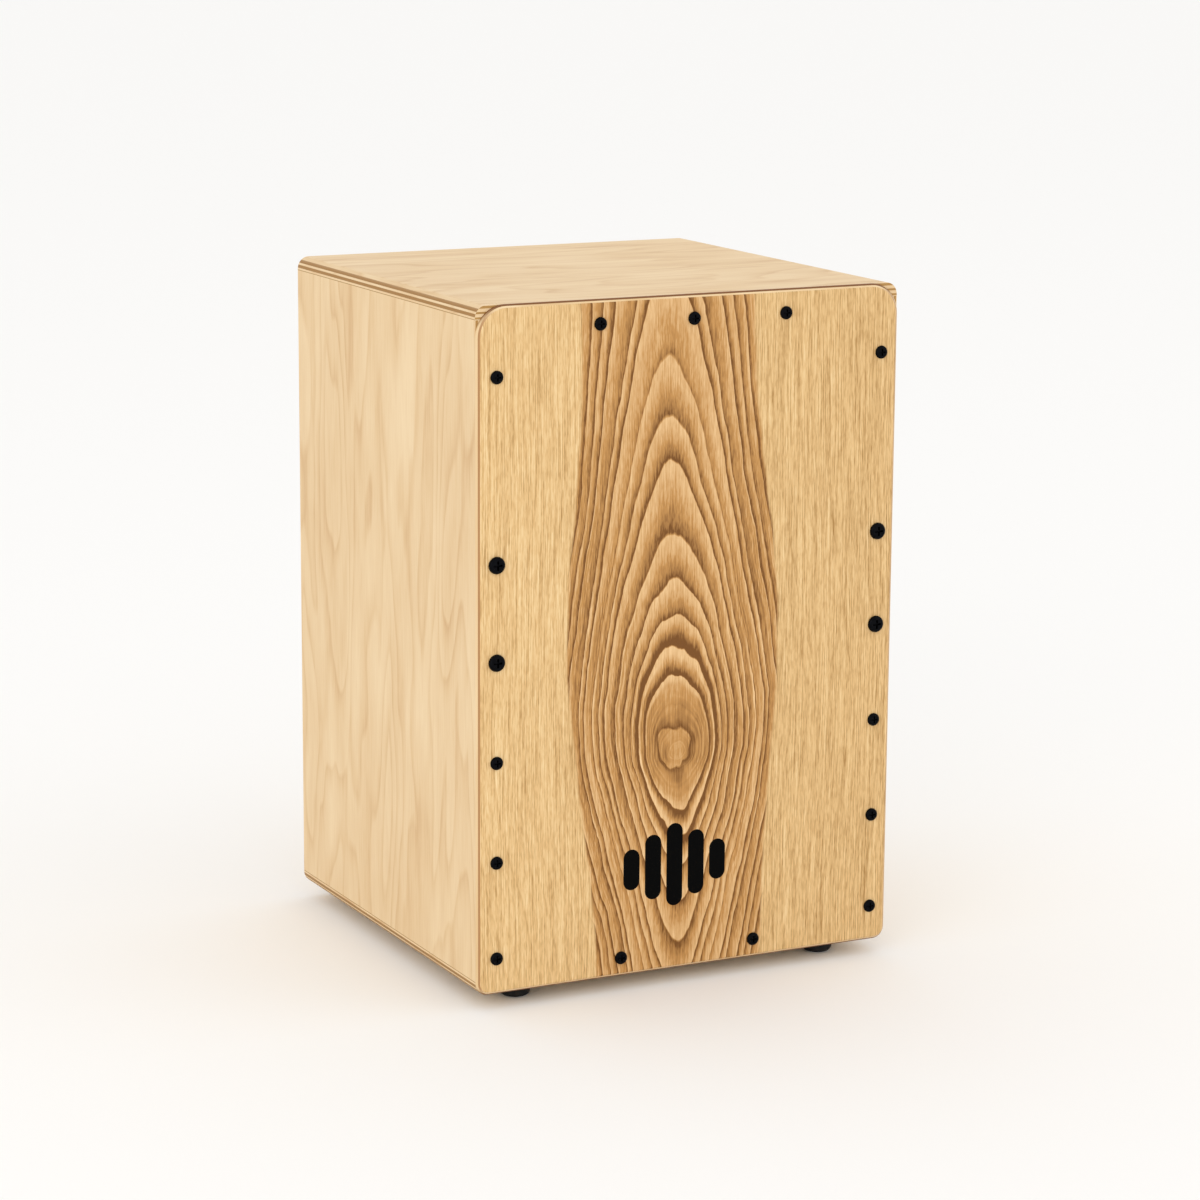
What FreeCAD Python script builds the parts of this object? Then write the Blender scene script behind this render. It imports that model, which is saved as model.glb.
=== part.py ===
import FreeCAD, Part
import os
import Sketcher
from FreeCAD import Placement, Rotation, Vector

# Cajon: a plywood box drum that is also its player's seat. The origin is on the floor, under the
# middle of the whole instrument; +Z is up, the striking plate faces -Y and the sound hole +Y.

DIMENSIONS = {
    # the box, without its feet
    "body_width": 300, "body_height": 440, "body_depth": 286.5, "board": 9, "edge_round": 8,
    # striking plate
    "plate": 3.5, "plate_top_corner": 20, "plate_bottom_corner": 8,
    "plate_bevel": 2.6, "plate_bevel_round": 0.8,
    # glued strips behind the plate and in front of the back
    "batten": 18, "strip": 12,
    # back board and its sound hole; the hole's height is taken from the floor
    "back_board": 5, "back_recess": 3, "hole_diameter": 120, "hole_height": 290, "hole_round": 0.8,
    # plate screws; heights are taken from the underside of the box
    "screw_diameter": 3.5, "screw_length": 20, "screw_head": 8.5, "screw_head_height": 1.8,
    "side_screw_inset": 13, "high_screw": 395.5, "middle_screw": 151.6, "low_screw": 86.8,
    "bottom_side_screw": 23.9, "top_row_drop": 15.2, "top_row_spacing": 66,
    "bottom_row_rise": 12.7, "bottom_row_spacing": 97,
    # heavy screws that clamp the cheek blocks
    "clamp_diameter": 5, "clamp_length": 42, "clamp_head": 11, "clamp_head_height": 2.4,
    "upper_clamp": 278, "lower_clamp": 216,
    # clearance all round a screw, bolt or insert in its hole, and spare depth beyond a screw's tip
    "slack": 0.05, "tip_room": 0.5, "foot_pilot_floor": 1,
    # screw heads, as shares: the cross's arm and half width of the head, its depth and the crown of
    # the head's height
    "cross_arm": 0.27, "cross_half_width": 0.06, "cross_depth": 0.75, "crown": 0.7,
    # rubber feet, each with a washer and a screw in its recess
    "foot_height": 10, "foot_top": 22, "foot_base": 19, "foot_round": 3.5,
    "foot_recess": 8, "foot_recess_depth": 6.5, "foot_side_inset": 38, "foot_end_inset": 22,
    "foot_screw_diameter": 3.5, "foot_screw_length": 12,
    "foot_screw_head": 6.6, "foot_screw_head_height": 2.2,
    "foot_washer": 7.6, "foot_washer_thickness": 1,
    # cheek blocks and the pivot between them; the setback is from the front edges of the box
    "cheek_width": 26, "cheek_height": 96, "cheek_depth": 28, "pivot_setback": 30,
    # snare rail and its pivot bolts
    "rail_depth": 20, "rail_height": 26, "rail_gap": 1, "rail_round": 1.5, "rest_lean": 7.5,
    "bolt_diameter": 6, "bolt_length": 45, "bolt_head": 10, "bolt_head_height": 6, "bolt_key": 5,
    "bolt_head_sink": 1, "counterbore_room": 0.4, "insert_bore_room": 6,
    "insert_diameter": 8, "insert_length": 20, "friction_washer": 18, "friction_washer_thickness": 0.9,
    # clips and wires; clip heights are taken from the pivot
    "clip_width": 44, "clip_sheet": 1.2, "clip_flap": 0.5, "clip_low": 10, "clip_high": 8,
    "clip_offset": 60, "clip_screw_spacing": 32, "clip_screw_drop": 5,
    "clip_screw_diameter": 3, "clip_screw_length": 12, "clip_screw_head": 6, "clip_screw_head_height": 1.6,
    "wire_diameter": 1.8, "wire_length": 127, "wire_pitch": 2.1,
}
WIRES_PER_FAN = 20
TINY = 0.01

doc = FreeCAD.newDocument("cajon")
dims = doc.addObject("Spreadsheet::Sheet", "dims")
for row, (alias, number) in enumerate(DIMENSIONS.items(), 1):
    dims.set(f"A{row}", alias)
    dims.set(f"B{row}", str(number))
    dims.setAlias(f"B{row}", alias)
doc.recompute()

# Places that several pieces share, as expressions of the sheet's cells.
HALF_WIDTH = "dims.body_width / 2"
HALF_INSIDE = "(dims.body_width / 2 - dims.board)"
FRONT = "(dims.clamp_head_height + dims.plate - dims.body_depth) / 2"
BACK = "(dims.clamp_head_height + dims.plate + dims.body_depth) / 2"
UNDERSIDE = "dims.foot_height"
TOP = "(dims.foot_height + dims.body_height)"
FLOOR_INSIDE = "(dims.foot_height + dims.board)"
CEILING = "(dims.foot_height + dims.body_height - dims.board)"
PLATE_FACE = f"{FRONT} - dims.plate"
BATTEN_BACK = f"{FRONT} + dims.batten"
SIDE_SCREW_X = "(dims.body_width / 2 - dims.side_screw_inset)"
PIVOT_HEIGHT = "(dims.foot_height + (dims.upper_clamp + dims.lower_clamp) / 2)"
CHEEK_INSIDE = f"({HALF_INSIDE} - dims.cheek_width)"
HALF_RAIL = f"({CHEEK_INSIDE} - dims.rail_gap)"

nodes = {}


def size(expression):
    """The number that an expression of the sheet's cells comes to."""
    return float(dims.evalExpression(expression))


def keep(name, item):
    """Label a finished piece and put it on the list of pieces to write."""
    item.Label = name
    nodes[name] = item
    return item


# ---- sketching and solid features -------------------------------------------------------------


def new_body(name):
    """An empty solid body."""
    return doc.addObject("PartDesign::Body", name)


def new_sketch(body, name, role):
    """A sketch on one of the body's own origin planes."""
    sketch = body.newObject("Sketcher::SketchObject", name)
    plane = next(item for item in body.Origin.OriginFeatures if item.Role == role)
    sketch.AttachmentSupport = [(plane, "")]
    sketch.MapMode = "FlatFace"
    return sketch


def locate(sketch, geometry, point, across, up):
    """Hold one point of a sketch at two distances from the sketch's origin."""
    origin_point = (-1, 1)
    for kind, expression, axis in (("DistanceX", across, -2), ("DistanceY", up, -1)):
        distance = size(expression)
        if abs(distance) < TINY:
            sketch.addConstraint(Sketcher.Constraint("PointOnObject", geometry, point, axis))
        else:
            constraint = Sketcher.Constraint(kind, *origin_point, geometry, point, distance)
            index = sketch.addConstraint(constraint)
            sketch.setExpression(f"Constraints[{index}]", expression)


def draw_outline(sketch, corners):
    """A closed outline of straight lines; each corner is a pair of expressions."""
    points = [Vector(size(across), size(up), 0) for across, up in corners]
    count = len(points)
    for index in range(count):
        line = Part.LineSegment(points[index], points[(index + 1) % count])
        sketch.addGeometry(line, False)
    for index in range(count):
        sketch.addConstraint(Sketcher.Constraint("Coincident", index, 2, (index + 1) % count, 1))
    for index, (across, up) in enumerate(corners):
        locate(sketch, index, 1, across, up)


def draw_circles(sketch, centres, diameter):
    """Circles of one diameter; each centre is a pair of expressions."""
    for across, up in centres:
        centre = Vector(size(across), size(up), 0)
        circle = Part.Circle(centre, Vector(0, 0, 1), size(diameter) / 2)
        index = sketch.addGeometry(circle, False)
        constraint = sketch.addConstraint(Sketcher.Constraint("Diameter", index, size(diameter)))
        sketch.setExpression(f"Constraints[{constraint}]", diameter)
        locate(sketch, index, 3, across, up)


def pad(body, sketch, length, backwards=False):
    """Raise a sketch into a solid."""
    feature = body.newObject("PartDesign::Pad", f"{sketch.Name}_pad")
    feature.Profile = sketch
    feature.Reversed = backwards
    feature.setExpression("Length", length)
    doc.recompute()
    return feature


def pocket(body, sketch, depth, backwards=False):
    """Sink a sketch into the body, and make sure that it cuts."""
    before = body.Shape.Volume
    feature = body.newObject("PartDesign::Pocket", f"{sketch.Name}_pocket")
    feature.Profile = sketch
    feature.Reversed = backwards
    feature.setExpression("Length", depth)
    doc.recompute()
    if feature.Shape.Volume > before - TINY:
        raise RuntimeError(f"{feature.Name} cuts nothing")
    return feature


def edges_where(feature, wanted):
    """Names of the feature's edges for which wanted(edge) is true."""
    return [f"Edge{number}" for number, edge in enumerate(feature.Shape.Edges, 1) if wanted(edge)]


def round_edges(body, name, radius, wanted):
    """Round the edges of the body's last feature for which wanted(edge) is true."""
    last = body.Tip
    feature = body.newObject("PartDesign::Fillet", name)
    feature.Base = (last, edges_where(last, wanted))
    feature.setExpression("Radius", radius)
    doc.recompute()
    return feature


def bevel_edges(body, name, width, wanted):
    """Bevel the edges of the body's last feature for which wanted(edge) is true."""
    last = body.Tip
    feature = body.newObject("PartDesign::Chamfer", name)
    feature.Base = (last, edges_where(last, wanted))
    feature.setExpression("Size", width)
    doc.recompute()
    return feature


def board(name, left, right, low, high, thickness, front):
    """A plain board seen from the front: its outline, its thickness and where its front face is."""
    body = new_body(name)
    sketch = new_sketch(body, f"{name}_outline", "XZ_Plane")
    draw_outline(sketch, [(left, low), (right, low), (right, high), (left, high)])
    pad(body, sketch, thickness, backwards=True)
    body.setExpression("Placement.Base.y", front)
    return keep(name, body)


def drill(body, name, centres, diameter, depth):
    """Round holes sunk from the body's front face."""
    sketch = new_sketch(body, name, "XZ_Plane")
    draw_circles(sketch, centres, diameter)
    return pocket(body, sketch, depth)


def turned(name, corners):
    """A piece turned about its own Z axis; the corners are radius and height."""
    body = new_body(name)
    sketch = new_sketch(body, f"{name}_profile", "XZ_Plane")
    draw_outline(sketch, corners)
    feature = body.newObject("PartDesign::Revolution", f"{name}_turning")
    feature.Profile = sketch
    feature.ReferenceAxis = (sketch, ["V_Axis"])
    feature.Angle = 360
    doc.recompute()
    return body


def group(name, pattern, placements):
    """One node of separate solids: copies of a pattern piece, each at its own placement."""
    copies = []
    for placement in placements:
        copy = pattern.Shape.copy()
        copy.Placement = placement
        copies.append(copy)
    item = doc.addObject("Part::Feature", name)
    item.Shape = Part.makeCompound(copies)
    return keep(name, item)


# ---- the box ----------------------------------------------------------------------------------


def seat_and_floor_boards():
    """Top and bottom boards of the full width, their long edges rounded over."""
    top = board("top_panel", f"-{HALF_WIDTH}", HALF_WIDTH, CEILING, TOP, "dims.body_depth", FRONT)
    top_edge = size(TOP) - TINY
    round_edges(
        top, "seat_round", "dims.edge_round",
        lambda edge: edge.BoundBox.ZMin > top_edge and edge.BoundBox.YLength > TINY,
    )
    bottom = board(
        "bottom_panel", f"-{HALF_WIDTH}", HALF_WIDTH, UNDERSIDE, FLOOR_INSIDE, "dims.body_depth", FRONT
    )
    bottom_edge = size(UNDERSIDE) + TINY
    round_edges(
        bottom, "underside_round", "dims.edge_round",
        lambda edge: edge.BoundBox.ZMax < bottom_edge and edge.BoundBox.YLength > TINY,
    )
    pilots = new_sketch(bottom, "foot_pilots", "XY_Plane")
    draw_circles(pilots, foot_centres(from_front_edge=True), "dims.foot_screw_diameter + 2 * dims.slack")
    pocket(bottom, pilots, "dims.foot_height + dims.board - dims.foot_pilot_floor", backwards=True)


def side_boards():
    """Left and right boards, butted between top and bottom."""
    span = (FLOOR_INSIDE, CEILING, "dims.body_depth", FRONT)
    board("left_panel", f"-{HALF_WIDTH}", f"-{HALF_INSIDE}", *span)
    board("right_panel", HALF_INSIDE, HALF_WIDTH, *span)


def back_board():
    """Thin back, set in between the four boards, with the round sound hole."""
    face = f"{BACK} - dims.back_recess - dims.back_board"
    back = board(
        "back_panel", f"-{HALF_INSIDE}", HALF_INSIDE, FLOOR_INSIDE, CEILING, "dims.back_board", face
    )
    drill(back, "sound_hole", [("0", "dims.hole_height")], "dims.hole_diameter", "dims.back_board")
    round_edges(back, "hole_rims", "dims.hole_round", lambda edge: isinstance(edge.Curve, Part.Circle))


def back_strips():
    """Glue strips round the inside, which the back is set against."""
    inner = f"({HALF_INSIDE} - dims.strip)"
    face = f"{BACK} - dims.back_recess - dims.back_board - dims.strip"
    tall = (FLOOR_INSIDE, CEILING, "dims.strip", face)
    board("back_batten_left", f"-{HALF_INSIDE}", f"-{inner}", *tall)
    board("back_batten_right", inner, HALF_INSIDE, *tall)
    wide = ("dims.strip", face)
    board("back_batten_bottom", f"-{inner}", inner, FLOOR_INSIDE, f"{FLOOR_INSIDE} + dims.strip", *wide)
    board("back_batten_top", f"-{inner}", inner, f"{CEILING} - dims.strip", CEILING, *wide)


# ---- the striking plate and its fixings -------------------------------------------------------

SIDE_SCREW_HEIGHTS = [
    f"(dims.foot_height + dims.{cell})"
    for cell in ("high_screw", "middle_screw", "low_screw", "bottom_side_screw")
]
CLAMP_HEIGHTS = [f"(dims.foot_height + dims.{cell})" for cell in ("upper_clamp", "lower_clamp")]
TOP_ROW = [
    (across, f"{TOP} - dims.top_row_drop")
    for across in ("-dims.top_row_spacing", "0", "dims.top_row_spacing")
]
BOTTOM_ROW = [
    (across, "dims.foot_height + dims.bottom_row_rise")
    for across in ("-dims.bottom_row_spacing / 2", "dims.bottom_row_spacing / 2")
]
SCREW_HOLE = "dims.screw_diameter + 2 * dims.slack"
CLAMP_HOLE = "dims.clamp_diameter + 2 * dims.slack"
SIDES = {"left": "-", "right": ""}


def side_screws(sign):
    """Centres of the small screws down one side of the plate."""
    return [(f"{sign}{SIDE_SCREW_X}", height) for height in SIDE_SCREW_HEIGHTS]


def clamp_screw_centres(sign):
    """Centres of the two heavy screws on one side of the plate."""
    return [(f"{sign}{SIDE_SCREW_X}", height) for height in CLAMP_HEIGHTS]


def striking_plate():
    """Thin plate over the whole front, its outer edge bevelled, drilled for all its screws."""
    plate = board("front_plate", f"-{HALF_WIDTH}", HALF_WIDTH, UNDERSIDE, TOP, "dims.plate", PLATE_FACE)
    middle = (size(UNDERSIDE) + size(TOP)) / 2

    def runs_through(edge):
        return edge.BoundBox.YLength > TINY and edge.BoundBox.XLength + edge.BoundBox.ZLength < TINY

    round_edges(
        plate, "top_corners", "dims.plate_top_corner",
        lambda edge: runs_through(edge) and edge.BoundBox.ZMin > middle,
    )
    round_edges(
        plate, "bottom_corners", "dims.plate_bottom_corner",
        lambda edge: runs_through(edge) and edge.BoundBox.ZMax < size(UNDERSIDE) + TINY,
    )
    bevel_edges(plate, "front_bevel", "dims.plate_bevel", lambda edge: edge.BoundBox.YMax < TINY)
    bevel_foot = size("dims.plate_bevel")

    def bounds_the_bevel(edge):
        box = edge.BoundBox
        return box.YMax < TINY or (box.YLength < TINY and abs(box.YMax - bevel_foot) < TINY)

    round_edges(plate, "bevel_round", "dims.plate_bevel_round", bounds_the_bevel)
    small = side_screws("-") + side_screws("") + TOP_ROW + BOTTOM_ROW
    drill(plate, "plate_screw_holes", small, SCREW_HOLE, "dims.plate")
    heavy = clamp_screw_centres("-") + clamp_screw_centres("")
    drill(plate, "clamp_screw_holes", heavy, CLAMP_HOLE, "dims.plate")


def front_battens():
    """Glued strips behind the plate's edges, which its screws bite into."""
    pilot_depth = "dims.screw_length - dims.plate + dims.tip_room"
    inner = f"({HALF_INSIDE} - dims.batten)"
    for side, sign in SIDES.items():
        low_x, high_x = sorted((f"{sign}{inner}", f"{sign}{HALF_INSIDE}"), key=size)
        post = board(
            f"front_batten_{side}", low_x, high_x, FLOOR_INSIDE, CEILING, "dims.batten", FRONT
        )
        drill(post, f"{side}_pilots", side_screws(sign), SCREW_HOLE, pilot_depth)
        drill(post, f"{side}_clamp_holes", clamp_screw_centres(sign), CLAMP_HOLE, "dims.batten")
    wide = ("dims.batten", FRONT)
    bottom = board(
        "front_batten_bottom", f"-{inner}", inner, FLOOR_INSIDE, f"{FLOOR_INSIDE} + dims.batten", *wide
    )
    drill(bottom, "bottom_pilots", BOTTOM_ROW, SCREW_HOLE, pilot_depth)
    top = board("front_batten_top", f"-{inner}", inner, f"{CEILING} - dims.batten", CEILING, *wide)
    drill(top, "top_pilots", TOP_ROW, SCREW_HOLE, pilot_depth)


def pan_screw(name, kind):
    """A pan-head wood screw, head up, its head's underside at zero, with a cross recess."""
    shank = f"dims.{kind}_diameter / 2"
    head = f"dims.{kind}_head / 2"
    tip = f"-dims.{kind}_length"
    corners = [("0", tip), (shank, f"{tip} + dims.{kind}_diameter"), (shank, "0"), (head, "0")]
    corners += [(head, f"dims.{kind}_head_height"), ("0", f"dims.{kind}_head_height")]
    body = turned(name, corners)
    height = size(f"dims.{kind}_head_height")
    round_edges(
        body, f"{name}_crown", f"dims.{kind}_head_height * dims.crown",
        lambda edge: isinstance(edge.Curve, Part.Circle) and edge.BoundBox.ZMin > height - TINY,
    )
    long_arm = f"dims.{kind}_head * dims.cross_arm"
    half_slot = f"dims.{kind}_head * dims.cross_half_width"
    for slot, (across, up) in enumerate(((long_arm, half_slot), (half_slot, long_arm))):
        sketch = new_sketch(body, f"{name}_slot_{slot}", "XY_Plane")
        sketch.AttachmentOffset = Placement(Vector(0, 0, height), Rotation())
        draw_outline(
            sketch, [(f"-{across}", f"-{up}"), (across, f"-{up}"), (across, up), (f"-{across}", up)]
        )
        pocket(body, sketch, f"dims.{kind}_head_height * dims.cross_depth")
    return body


def facing_front(across, up, front):
    """Placement of a screw whose head faces the front, with its head's underside at y = front."""
    return Placement(Vector(size(across), front, size(up)), Rotation(Vector(1, 0, 0), 90))


def plate_fixings():
    """The small screws all round the plate and the heavy ones at mid height."""
    face = size(PLATE_FACE)
    small = side_screws("-") + side_screws("") + TOP_ROW + BOTTOM_ROW
    screw = pan_screw("one_plate_screw", "screw")
    group("plate_screws", screw, [facing_front(across, up, face) for across, up in small])
    heavy = clamp_screw_centres("-") + clamp_screw_centres("")
    clamp = pan_screw("one_clamp_screw", "clamp")
    group("clamp_screws", clamp, [facing_front(across, up, face) for across, up in heavy])


# ---- feet -------------------------------------------------------------------------------------


def foot_centres(from_front_edge=False):
    """Centres of the four feet; with from_front_edge, measured from the front edge of the box."""
    start = "0" if from_front_edge else FRONT
    across = "(dims.body_width / 2 - dims.foot_side_inset)"
    near = f"{start} + dims.foot_end_inset"
    far = f"{start} + dims.body_depth - dims.foot_end_inset"
    return [(f"-{across}", near), (across, near), (f"-{across}", far), (across, far)]


def feet():
    """Tapered rubber feet with a recess from below for the washer and the screw."""
    hole = "(dims.foot_screw_diameter / 2 + dims.slack)"
    recess = "dims.foot_recess / 2"
    names = ("foot_front_left", "foot_front_right", "foot_back_left", "foot_back_right")
    for name, (across, along) in zip(names, foot_centres()):
        corners = [(recess, "0"), ("dims.foot_base / 2", "0"), ("dims.foot_top / 2", "dims.foot_height")]
        corners += [(hole, "dims.foot_height"), (hole, "dims.foot_recess_depth")]
        corners += [(recess, "dims.foot_recess_depth")]
        foot = turned(name, corners)
        base = size("dims.foot_base")
        round_edges(
            foot, f"{name}_round", "dims.foot_round",
            lambda edge: edge.BoundBox.ZMax < TINY and edge.BoundBox.XLength > base - TINY,
        )
        foot.Placement = Placement(Vector(size(across), size(along), 0), Rotation())
        keep(name, foot)


def foot_fixings():
    """A washer in the roof of each foot's recess and a screw up through it into the bottom board."""
    hole = "(dims.foot_screw_diameter / 2 + dims.slack)"
    rim = "dims.foot_washer / 2"
    thickness = "dims.foot_washer_thickness"
    washer = turned("one_foot_washer", [(hole, "0"), (rim, "0"), (rim, thickness), (hole, thickness)])
    washer_height = size("dims.foot_recess_depth - dims.foot_washer_thickness")
    screw = pan_screw("one_foot_screw", "foot_screw")
    places = [Vector(size(across), size(along), washer_height) for across, along in foot_centres()]
    group("foot_washers", washer, [Placement(place, Rotation()) for place in places])
    head_down = Rotation(Vector(1, 0, 0), 180)
    group("foot_screws", screw, [Placement(place, head_down) for place in places])


# ---- the snare that tilts onto the plate ------------------------------------------------------


def on_rail(across, forward, up):
    """Placement of a piece on the tilting rail: offsets from the pivot, leaned as at rest."""
    lean = Rotation(Vector(1, 0, 0), size("dims.rest_lean"))
    pivot = Vector(0, size(f"{FRONT} + dims.pivot_setback"), size(PIVOT_HEIGHT))
    return Placement(pivot + lean.multVec(Vector(across, -forward, up)), lean)


def end_bore(body, name, sign, length, diameter, depth, centre):
    """A blind hole along X, sunk from the face at a distance from the middle, on one side."""
    sketch = new_sketch(body, name, "YZ_Plane")
    direction = -1 if sign else 1
    sketch.AttachmentOffset = Placement(Vector(0, 0, direction * size(length)), Rotation())
    draw_circles(sketch, [centre], diameter)
    return pocket(body, sketch, depth, backwards=bool(sign))


def cheek_blocks():
    """Hardwood blocks behind the side battens, each bored for a pivot bolt and its head."""
    for side, sign in SIDES.items():
        name = f"cheek_block_{side}"
        low_x, high_x = sorted((f"{sign}{CHEEK_INSIDE}", f"{sign}{HALF_INSIDE}"), key=size)
        block = board(
            name, low_x, high_x,
            f"{PIVOT_HEIGHT} - dims.cheek_height / 2", f"{PIVOT_HEIGHT} + dims.cheek_height / 2",
            "dims.cheek_depth", BATTEN_BACK,
        )
        screw_depth = "dims.clamp_length - dims.plate - dims.batten + dims.tip_room"
        drill(block, f"{name}_screw_holes", clamp_screw_centres(sign), CLAMP_HOLE, screw_depth)
        centre = ("dims.pivot_setback - dims.batten", PIVOT_HEIGHT)
        bore = "dims.bolt_diameter + 2 * dims.slack"
        end_bore(block, f"{name}_bore", sign, HALF_INSIDE, bore, "dims.cheek_width", centre)
        counterbore = "dims.bolt_head + dims.counterbore_room"
        recess = "dims.bolt_head_height + dims.bolt_head_sink"
        end_bore(block, f"{name}_counterbore", sign, HALF_INSIDE, counterbore, recess, centre)


def snare_rail():
    """Hardwood bar between the cheek blocks, with a bore in each end for the pivot's insert."""
    rail = board(
        "snare_rail", f"-{HALF_RAIL}", HALF_RAIL, "-dims.rail_height / 2", "dims.rail_height / 2",
        "dims.rail_depth", "0",
    )
    round_edges(
        rail, "rail_edges", "dims.rail_round",
        lambda edge: edge.BoundBox.XLength > size("dims.rail_depth") + TINY,
    )
    for side, sign in SIDES.items():
        bore = "dims.insert_diameter + 2 * dims.slack"
        end_bore(
            rail, f"{side}_insert_bore", sign, HALF_RAIL, bore,
            "dims.insert_length + dims.insert_bore_room", ("dims.rail_depth / 2", "0"),
        )
    screw_centres = [
        (f"{sign}{across}", "-dims.clip_screw_drop")
        for sign in ("-", "")
        for across in ("(dims.clip_offset - dims.clip_screw_spacing / 2)",
                       "(dims.clip_offset + dims.clip_screw_spacing / 2)")
    ]
    hole = "dims.clip_screw_diameter + 2 * dims.slack"
    drill(rail, "clip_screw_pilots", screw_centres, hole, "dims.clip_screw_length")
    rail.setExpression("Placement.Base.y", None)
    rail.Placement = on_rail(0, size("dims.rail_depth / 2"), 0)


def pivot_fixings():
    """On each side: a socket-head bolt, its threaded insert in the rail and a friction washer."""
    key_depth = size("dims.bolt_head_height") / 2
    bolt_radius = size("dims.bolt_diameter / 2")
    insert_bore = bolt_radius + size("dims.slack")
    for side, sign in SIDES.items():
        direction = -1 if sign else 1
        outwards = Rotation(Vector(0, 1, 0), 90 * direction)
        lean = on_rail(0, 0, 0)

        length = size("dims.bolt_length")
        shank = Part.makeCylinder(bolt_radius, length, Vector(0, 0, -length))
        head = Part.makeCylinder(size("dims.bolt_head / 2"), size("dims.bolt_head_height"))
        corner = Vector(size("dims.bolt_key") / 3 ** 0.5, 0, 0)
        hexagon = [Rotation(Vector(0, 0, 1), 60 * turn).multVec(corner) for turn in range(7)]
        key = Part.Face(Part.makePolygon(hexagon)).extrude(Vector(0, 0, key_depth))
        key.translate(Vector(0, 0, size("dims.bolt_head_height") - key_depth))
        bolt = doc.addObject("Part::Feature", f"pivot_bolt_{side}")
        bolt.Shape = shank.fuse(head).removeSplitter().cut(key)
        head_seat = size(f"{HALF_INSIDE} - dims.bolt_head_height - dims.bolt_head_sink") * direction
        bolt.Placement = lean.multiply(Placement(Vector(head_seat, 0, 0), outwards))
        keep(f"pivot_bolt_{side}", bolt)

        insert = doc.addObject("Part::Feature", f"rail_insert_{side}")
        sleeve = Part.makeCylinder(size("dims.insert_diameter / 2"), size("dims.insert_length"))
        insert.Shape = sleeve.cut(Part.makeCylinder(insert_bore, size("dims.insert_length")))
        sleeve_start = size(f"{HALF_RAIL} - dims.insert_length") * direction
        insert.Placement = lean.multiply(Placement(Vector(sleeve_start, 0, 0), outwards))
        keep(f"rail_insert_{side}", insert)

        washer = doc.addObject("Part::Feature", f"friction_washer_{side}")
        disc = Part.makeCylinder(size("dims.friction_washer / 2"), size("dims.friction_washer_thickness"))
        washer.Shape = disc.cut(Part.makeCylinder(insert_bore, size("dims.friction_washer_thickness")))
        spare = size("dims.rail_gap - dims.friction_washer_thickness") / 2
        washer_start = (size(HALF_RAIL) + spare) * direction
        washer.Placement = lean.multiply(Placement(Vector(washer_start, 0, 0), outwards))
        keep(f"friction_washer_{side}", washer)


def snare_clip(side, sign):
    """A folded steel strip: screwed to the rail below, folded over the ends of the wires above."""
    name = f"snare_clip_{side}"
    body = new_body(name)
    sketch = new_sketch(body, f"{name}_profile", "YZ_Plane")
    sheet = "-dims.clip_sheet"
    wire_front = f"({sheet} - dims.wire_diameter - 2 * dims.slack)"
    flap_front = f"({wire_front} - dims.clip_flap)"
    draw_outline(sketch, [
        ("0", "-dims.clip_low"), ("0", "dims.clip_high"), (sheet, "dims.clip_high"), (sheet, "0"),
        (wire_front, "0"), (wire_front, "dims.clip_high"), (flap_front, "dims.clip_high"),
        (flap_front, "-dims.clip_flap"), (sheet, "-dims.clip_flap"), (sheet, "-dims.clip_low"),
    ])
    strip = pad(body, sketch, "dims.clip_width")
    strip.Midplane = True
    doc.recompute()
    holes = new_sketch(body, f"{name}_holes", "XZ_Plane")
    holes.AttachmentOffset = Placement(Vector(0, 0, size("dims.clip_sheet")), Rotation())
    centres = [(f"{half}dims.clip_screw_spacing / 2", "-dims.clip_screw_drop") for half in ("-", "")]
    draw_circles(holes, centres, "dims.clip_screw_diameter + 2 * dims.slack")
    pocket(body, holes, "dims.clip_sheet")
    body.Placement = on_rail(size(f"{sign}dims.clip_offset"), size("dims.rail_depth / 2"), 0)
    return keep(name, body)


def snare_fan(side, sign):
    """Twenty straight steel wires side by side, their lower ends in the clip."""
    radius = size("dims.wire_diameter / 2")
    pitch = size("dims.wire_pitch")
    first = -pitch * (WIRES_PER_FAN - 1) / 2
    forward = -radius - size("dims.slack")
    wires = [
        Part.makeCylinder(radius, size("dims.wire_length"), Vector(first + pitch * number, forward, 0))
        for number in range(WIRES_PER_FAN)
    ]
    name = f"snare_wires_{side}"
    fan = doc.addObject("Part::Feature", name)
    fan.Shape = Part.makeCompound(wires)
    face = size("dims.rail_depth / 2 + dims.clip_sheet")
    fan.Placement = on_rail(size(f"{sign}dims.clip_offset"), face, 0)
    return keep(name, fan)


def snare_fixings():
    """The clips, the wires and the clips' screws."""
    for side, sign in SIDES.items():
        snare_clip(side, sign)
        snare_fan(side, sign)
    screw = pan_screw("one_clip_screw", "clip_screw")
    face = size("dims.rail_depth / 2 + dims.clip_sheet")
    half_spacing = size("dims.clip_screw_spacing / 2")
    drop = size("dims.clip_screw_drop")
    head_forward = Placement(Vector(), Rotation(Vector(1, 0, 0), 90))
    places = [
        on_rail(direction * size("dims.clip_offset") + half * half_spacing, face, -drop)
        for direction in (-1, 1)
        for half in (-1, 1)
    ]
    group("clip_screws", screw, [place.multiply(head_forward) for place in places])


def check_and_write():
    """Stop if anything failed to compute, then write each piece to its own file."""
    doc.recompute()
    for item in doc.Objects:
        if "Invalid" in item.State or "Error" in item.State:
            raise RuntimeError(f"{item.Name} is {item.State}")
    os.makedirs("parts", exist_ok=True)
    for name, item in nodes.items():
        shape = item.Shape
        if shape.isNull() or not shape.isValid():
            raise RuntimeError(f"{name} has no valid shape")
        shape.exportStep(f"parts/{name}.step")
        print(f"{name:22} {len(shape.Solids):3} solids {shape.Volume / 1000:9.2f} cm3")


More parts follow.
